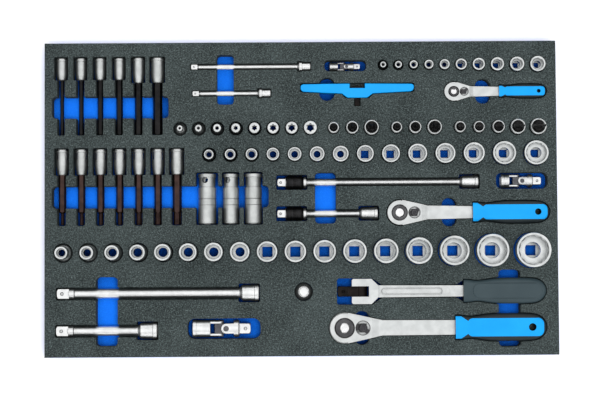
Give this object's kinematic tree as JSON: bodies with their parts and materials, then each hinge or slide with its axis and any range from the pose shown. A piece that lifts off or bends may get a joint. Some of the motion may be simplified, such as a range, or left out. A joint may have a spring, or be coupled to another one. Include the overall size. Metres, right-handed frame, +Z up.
{
  "type": "socket wrench set in foam module",
  "caption": "Foam tool module with standing sockets, bit sockets, extensions, universal joints, ratchets, hinge handle and T-handle, each lifting out of its own cut-out.",
  "frame": {"origin": "centre of the foam module's underside", "axes": "+X along the long side towards the grips, +Y across the tray towards the small sockets, +Z up out of the cut-outs"},
  "size_m": [0.636, 0.39, 0.056],
  "materials": {
    "foam_charcoal": "fine closed-cell foam",
    "foam_blue": "fine closed-cell foam",
    "socket_chrome": "satin chrome plate",
    "tool_chrome": "satin chrome plate",
    "ratchet_satin": "satin chrome plate",
    "drive_steel": "dark brushed",
    "button_steel": "polished",
    "lever_dark": "phosphated",
    "bit_oxide": "black oxide",
    "star_bit_bronze": "brown-black oxide",
    "grip_black": "soft-touch",
    "inlay_blue": "satin moulded",
    "wing_blue": "satin moulded",
    "rubber_black": "matt",
    "collar_black": "black oxide, grooved",
    "hinge_black": "phosphated",
    "pin_dark": "dark"
  },
  "bodies": {
    "module": {"foam_base_layer": "foam_blue", "foam_top_layer": "foam_charcoal"},
    "quarter_inch_socket_row": {"quarter_inch_sockets": "socket_chrome"},
    "external_star_socket_row": {"external_star_sockets": "socket_chrome"},
    "screwdriver_socket_row": {"screwdriver_socket_bodies": "socket_chrome", "screwdriver_bits": "bit_oxide"},
    "three_eighth_socket_row": {"three_eighth_sockets": "socket_chrome"},
    "half_inch_socket_row": {"half_inch_sockets": "socket_chrome"},
    "hex_bit_socket_row": {"hex_bit_socket_heads": "socket_chrome", "hex_bits": "bit_oxide"},
    "star_bit_socket_row": {"star_bit_socket_heads": "socket_chrome", "star_bits": "star_bit_bronze"},
    "spark_plug_socket_row": {"spark_plug_sockets": "socket_chrome", "spark_plug_rubber_grips": "rubber_black"},
    "adapter": {"drive_adapter": "tool_chrome"},
    "t_handle": {"t_handle_grip": "wing_blue", "t_handle_spindle": "hinge_black"},
    "half_inch_long_extension": {"half_inch_extension_250": "tool_chrome"},
    "half_inch_short_extension": {"half_inch_extension_125": "tool_chrome"},
    "three_eighth_long_extension": {"three_eighth_extension_250": "tool_chrome"},
    "three_eighth_short_extension": {"three_eighth_extension_125": "tool_chrome"},
    "quarter_inch_long_extension": {"quarter_inch_extension_150": "tool_chrome"},
    "quarter_inch_short_extension": {"quarter_inch_extension_100": "tool_chrome"},
    "three_eighth_long_release_collar": {"three_eighth_collar_250": "collar_black"},
    "three_eighth_short_release_collar": {"three_eighth_collar_125": "collar_black"},
    "half_inch_joint": {"half_inch_joint_socket_yoke": "tool_chrome"},
    "half_inch_joint_centre": {"half_inch_joint_cross": "pin_dark"},
    "half_inch_joint_drive_end": {"half_inch_joint_drive_yoke": "tool_chrome"},
    "three_eighth_joint": {"three_eighth_joint_socket_yoke": "tool_chrome"},
    "three_eighth_joint_centre": {"three_eighth_joint_cross": "pin_dark"},
    "three_eighth_joint_drive_end": {"three_eighth_joint_drive_yoke": "tool_chrome"},
    "quarter_inch_joint": {"quarter_inch_joint_socket_yoke": "tool_chrome"},
    "quarter_inch_joint_centre": {"quarter_inch_joint_cross": "pin_dark"},
    "quarter_inch_joint_drive_end": {"quarter_inch_joint_drive_yoke": "tool_chrome"},
    "hinge_handle": {"hinge_handle_bar": "ratchet_satin", "hinge_handle_grip": "grip_black", "hinge_handle_pin": "pin_dark"},
    "hinge_handle_swivel": {"hinge_handle_head": "hinge_black"},
    "half_inch_ratchet": {"half_inch_ratchet_body": "ratchet_satin", "half_inch_ratchet_grip": "grip_black", "half_inch_ratchet_inlay": "inlay_blue"},
    "half_inch_ratchet_drive_part": {"half_inch_ratchet_drive": "drive_steel"},
    "half_inch_ratchet_button_part": {"half_inch_ratchet_button": "button_steel"},
    "half_inch_ratchet_lever_part": {"half_inch_ratchet_lever": "lever_dark"},
    "half_inch_ratchet_pawl_part": {"half_inch_ratchet_pawl": "drive_steel"},
    "three_eighth_ratchet": {"three_eighth_ratchet_body": "ratchet_satin", "three_eighth_ratchet_grip": "grip_black", "three_eighth_ratchet_inlay": "inlay_blue"},
    "three_eighth_ratchet_drive_part": {"three_eighth_ratchet_drive": "drive_steel"},
    "three_eighth_ratchet_button_part": {"three_eighth_ratchet_button": "button_steel"},
    "three_eighth_ratchet_lever_part": {"three_eighth_ratchet_lever": "lever_dark"},
    "three_eighth_ratchet_pawl_part": {"three_eighth_ratchet_pawl": "drive_steel"},
    "quarter_inch_ratchet": {"quarter_inch_ratchet_body": "ratchet_satin", "quarter_inch_ratchet_grip": "grip_black", "quarter_inch_ratchet_inlay": "inlay_blue"},
    "quarter_inch_ratchet_drive_part": {"quarter_inch_ratchet_drive": "drive_steel"},
    "quarter_inch_ratchet_button_part": {"quarter_inch_ratchet_button": "button_steel"},
    "quarter_inch_ratchet_lever_part": {"quarter_inch_ratchet_lever": "lever_dark"},
    "quarter_inch_ratchet_pawl_part": {"quarter_inch_ratchet_pawl": "drive_steel"}
  },
  "joints": [
    {"name": "quarter_inch_socket_row_lift", "type": "slide", "parent": "module", "child": "quarter_inch_socket_row", "axis": [0, 0, 1], "range_m": [0, 0.04]},
    {"name": "external_star_socket_row_lift", "type": "slide", "parent": "module", "child": "external_star_socket_row", "axis": [0, 0, 1], "range_m": [0, 0.04]},
    {"name": "screwdriver_socket_row_lift", "type": "slide", "parent": "module", "child": "screwdriver_socket_row", "axis": [0, 0, 1], "range_m": [0, 0.05]},
    {"name": "three_eighth_socket_row_lift", "type": "slide", "parent": "module", "child": "three_eighth_socket_row", "axis": [0, 0, 1], "range_m": [0, 0.04]},
    {"name": "half_inch_socket_row_lift", "type": "slide", "parent": "module", "child": "half_inch_socket_row", "axis": [0, 0, 1], "range_m": [0, 0.06]},
    {"name": "hex_bit_socket_row_lift", "type": "slide", "parent": "module", "child": "hex_bit_socket_row", "axis": [0, 0, 1], "range_m": [0, 0.04]},
    {"name": "star_bit_socket_row_lift", "type": "slide", "parent": "module", "child": "star_bit_socket_row", "axis": [0, 0, 1], "range_m": [0, 0.04]},
    {"name": "spark_plug_socket_row_lift", "type": "slide", "parent": "module", "child": "spark_plug_socket_row", "axis": [0, 0, 1], "range_m": [0, 0.04]},
    {"name": "adapter_lift", "type": "slide", "parent": "module", "child": "adapter", "axis": [0, 0, 1], "range_m": [0, 0.04]},
    {"name": "t_handle_lift", "type": "slide", "parent": "module", "child": "t_handle", "axis": [0, 0, 1], "range_m": [0, 0.04]},
    {"name": "half_inch_long_extension_lift", "type": "slide", "parent": "module", "child": "half_inch_long_extension", "axis": [0, 0, 1], "range_m": [0, 0.04]},
    {"name": "half_inch_short_extension_lift", "type": "slide", "parent": "module", "child": "half_inch_short_extension", "axis": [0, 0, 1], "range_m": [0, 0.04]},
    {"name": "three_eighth_long_extension_lift", "type": "slide", "parent": "module", "child": "three_eighth_long_extension", "axis": [0, 0, 1], "range_m": [0, 0.04]},
    {"name": "three_eighth_short_extension_lift", "type": "slide", "parent": "module", "child": "three_eighth_short_extension", "axis": [0, 0, 1], "range_m": [0, 0.04]},
    {"name": "quarter_inch_long_extension_lift", "type": "slide", "parent": "module", "child": "quarter_inch_long_extension", "axis": [0, 0, 1], "range_m": [0, 0.04]},
    {"name": "quarter_inch_short_extension_lift", "type": "slide", "parent": "module", "child": "quarter_inch_short_extension", "axis": [0, 0, 1], "range_m": [0, 0.04]},
    {"name": "three_eighth_long_release_collar_slide", "type": "slide", "parent": "three_eighth_long_extension", "child": "three_eighth_long_release_collar", "axis": [-1, 0, 0], "range_m": [0, 0.0025], "stiffness_N_per_m": 400},
    {"name": "three_eighth_short_release_collar_slide", "type": "slide", "parent": "three_eighth_short_extension", "child": "three_eighth_short_release_collar", "axis": [-1, 0, 0], "range_m": [0, 0.0025], "stiffness_N_per_m": 400},
    {"name": "half_inch_joint_lift", "type": "slide", "parent": "module", "child": "half_inch_joint", "axis": [0, 0, 1], "range_m": [0, 0.04]},
    {"name": "half_inch_joint_bend_up", "type": "hinge", "parent": "half_inch_joint", "child": "half_inch_joint_centre", "pos_m": [-0.1026, -0.1604, 0.02315], "axis": [0, -1, 0], "range_deg": [0, 40]},
    {"name": "half_inch_joint_bend_sideways", "type": "hinge", "parent": "half_inch_joint_centre", "child": "half_inch_joint_drive_end", "pos_m": [-0.0935, -0.1604, 0.02315], "axis": [0, 0, 1], "range_deg": [-5, 5]},
    {"name": "three_eighth_joint_lift", "type": "slide", "parent": "module", "child": "three_eighth_joint", "axis": [0, 0, 1], "range_m": [0, 0.04]},
    {"name": "three_eighth_joint_bend_up", "type": "hinge", "parent": "three_eighth_joint", "child": "three_eighth_joint_centre", "pos_m": [0.26762, 0.0206, 0.02105], "axis": [0, -1, 0], "range_deg": [0, 40]},
    {"name": "three_eighth_joint_bend_sideways", "type": "hinge", "parent": "three_eighth_joint_centre", "child": "three_eighth_joint_drive_end", "pos_m": [0.27496, 0.0206, 0.02105], "axis": [0, 0, 1], "range_deg": [-5, 5]},
    {"name": "quarter_inch_joint_lift", "type": "slide", "parent": "module", "child": "quarter_inch_joint", "axis": [0, 0, 1], "range_m": [0, 0.04]},
    {"name": "quarter_inch_joint_bend_up", "type": "hinge", "parent": "quarter_inch_joint", "child": "quarter_inch_joint_centre", "pos_m": [0.05285, 0.1653, 0.0183], "axis": [0, -1, 0], "range_deg": [0, 40]},
    {"name": "quarter_inch_joint_bend_sideways", "type": "hinge", "parent": "quarter_inch_joint_centre", "child": "quarter_inch_joint_drive_end", "pos_m": [0.05789, 0.1653, 0.0183], "axis": [0, 0, 1], "range_deg": [-5, 5]},
    {"name": "hinge_handle_lift", "type": "slide", "parent": "module", "child": "hinge_handle", "axis": [0, 0, 1], "range_m": [0, 0.05]},
    {"name": "hinge_handle_swivel_hinge", "type": "hinge", "parent": "hinge_handle", "child": "hinge_handle_swivel", "pos_m": [0.074, -0.1156, 0.025], "axis": [0, 1, 0], "range_deg": [0, 100]},
    {"name": "half_inch_ratchet_lift", "type": "slide", "parent": "module", "child": "half_inch_ratchet", "axis": [0, 0, 1], "range_m": [0, 0.05]},
    {"name": "half_inch_ratchet_drive_turn", "type": "hinge", "parent": "half_inch_ratchet", "child": "half_inch_ratchet_drive_part", "pos_m": [0.0529, -0.1606, 0.02], "axis": [0, 0, 1], "continuous": true},
    {"name": "half_inch_ratchet_release_button_push", "type": "slide", "parent": "half_inch_ratchet_drive_part", "child": "half_inch_ratchet_button_part", "axis": [0, 0, -1], "range_m": [0, 0.0015], "stiffness_N_per_m": 500},
    {"name": "half_inch_ratchet_reversing_lever", "type": "hinge", "parent": "half_inch_ratchet", "child": "half_inch_ratchet_lever_part", "pos_m": [0.0755, -0.1606, 0.028], "axis": [0, 0, 1], "range_deg": [0, 76]},
    {"name": "half_inch_ratchet_pawl_rock", "type": "hinge", "parent": "half_inch_ratchet", "child": "half_inch_ratchet_pawl_part", "pos_m": [0.0755, -0.1606, 0.025], "axis": [0, 0, 1], "range_deg": [0, 12.05]},
    {"name": "three_eighth_ratchet_lift", "type": "slide", "parent": "module", "child": "three_eighth_ratchet", "axis": [0, 0, 1], "range_m": [0, 0.05]},
    {"name": "three_eighth_ratchet_drive_turn", "type": "hinge", "parent": "three_eighth_ratchet", "child": "three_eighth_ratchet_drive_part", "pos_m": [0.1222, -0.0181, 0.02], "axis": [0, 0, 1], "continuous": true},
    {"name": "three_eighth_ratchet_release_button_push", "type": "slide", "parent": "three_eighth_ratchet_drive_part", "child": "three_eighth_ratchet_button_part", "axis": [0, 0, -1], "range_m": [0, 0.0015], "stiffness_N_per_m": 500},
    {"name": "three_eighth_ratchet_reversing_lever", "type": "hinge", "parent": "three_eighth_ratchet", "child": "three_eighth_ratchet_lever_part", "pos_m": [0.1406, -0.0181, 0.028], "axis": [0, 0, 1], "range_deg": [-80, 0]},
    {"name": "three_eighth_ratchet_pawl_rock", "type": "hinge", "parent": "three_eighth_ratchet", "child": "three_eighth_ratchet_pawl_part", "pos_m": [0.1406, -0.0181, 0.025], "axis": [0, 0, 1], "range_deg": [-12.05, 0]},
    {"name": "quarter_inch_ratchet_lift", "type": "slide", "parent": "module", "child": "quarter_inch_ratchet", "axis": [0, 0, 1], "range_m": [0, 0.05]},
    {"name": "quarter_inch_ratchet_drive_turn", "type": "hinge", "parent": "quarter_inch_ratchet", "child": "quarter_inch_ratchet_drive_part", "pos_m": [0.1909, 0.1323, 0.02], "axis": [0, 0, 1], "continuous": true},
    {"name": "quarter_inch_ratchet_release_button_push", "type": "slide", "parent": "quarter_inch_ratchet_drive_part", "child": "quarter_inch_ratchet_button_part", "axis": [0, 0, -1], "range_m": [0, 0.0015], "stiffness_N_per_m": 500},
    {"name": "quarter_inch_ratchet_reversing_lever", "type": "hinge", "parent": "quarter_inch_ratchet", "child": "quarter_inch_ratchet_lever_part", "pos_m": [0.2039, 0.1323, 0.028], "axis": [0, 0, 1], "range_deg": [-84, 0]},
    {"name": "quarter_inch_ratchet_pawl_rock", "type": "hinge", "parent": "quarter_inch_ratchet", "child": "quarter_inch_ratchet_pawl_part", "pos_m": [0.2039, 0.1323, 0.025], "axis": [0, 0, 1], "range_deg": [-12.05, 0]}
  ],
  "couplings": [
    {"joint": "half_inch_ratchet_pawl_rock", "follows": "half_inch_ratchet_reversing_lever", "ratio": 0.1579},
    {"joint": "three_eighth_ratchet_pawl_rock", "follows": "three_eighth_ratchet_reversing_lever", "ratio": 0.15},
    {"joint": "quarter_inch_ratchet_pawl_rock", "follows": "quarter_inch_ratchet_reversing_lever", "ratio": 0.14286}
  ]
}
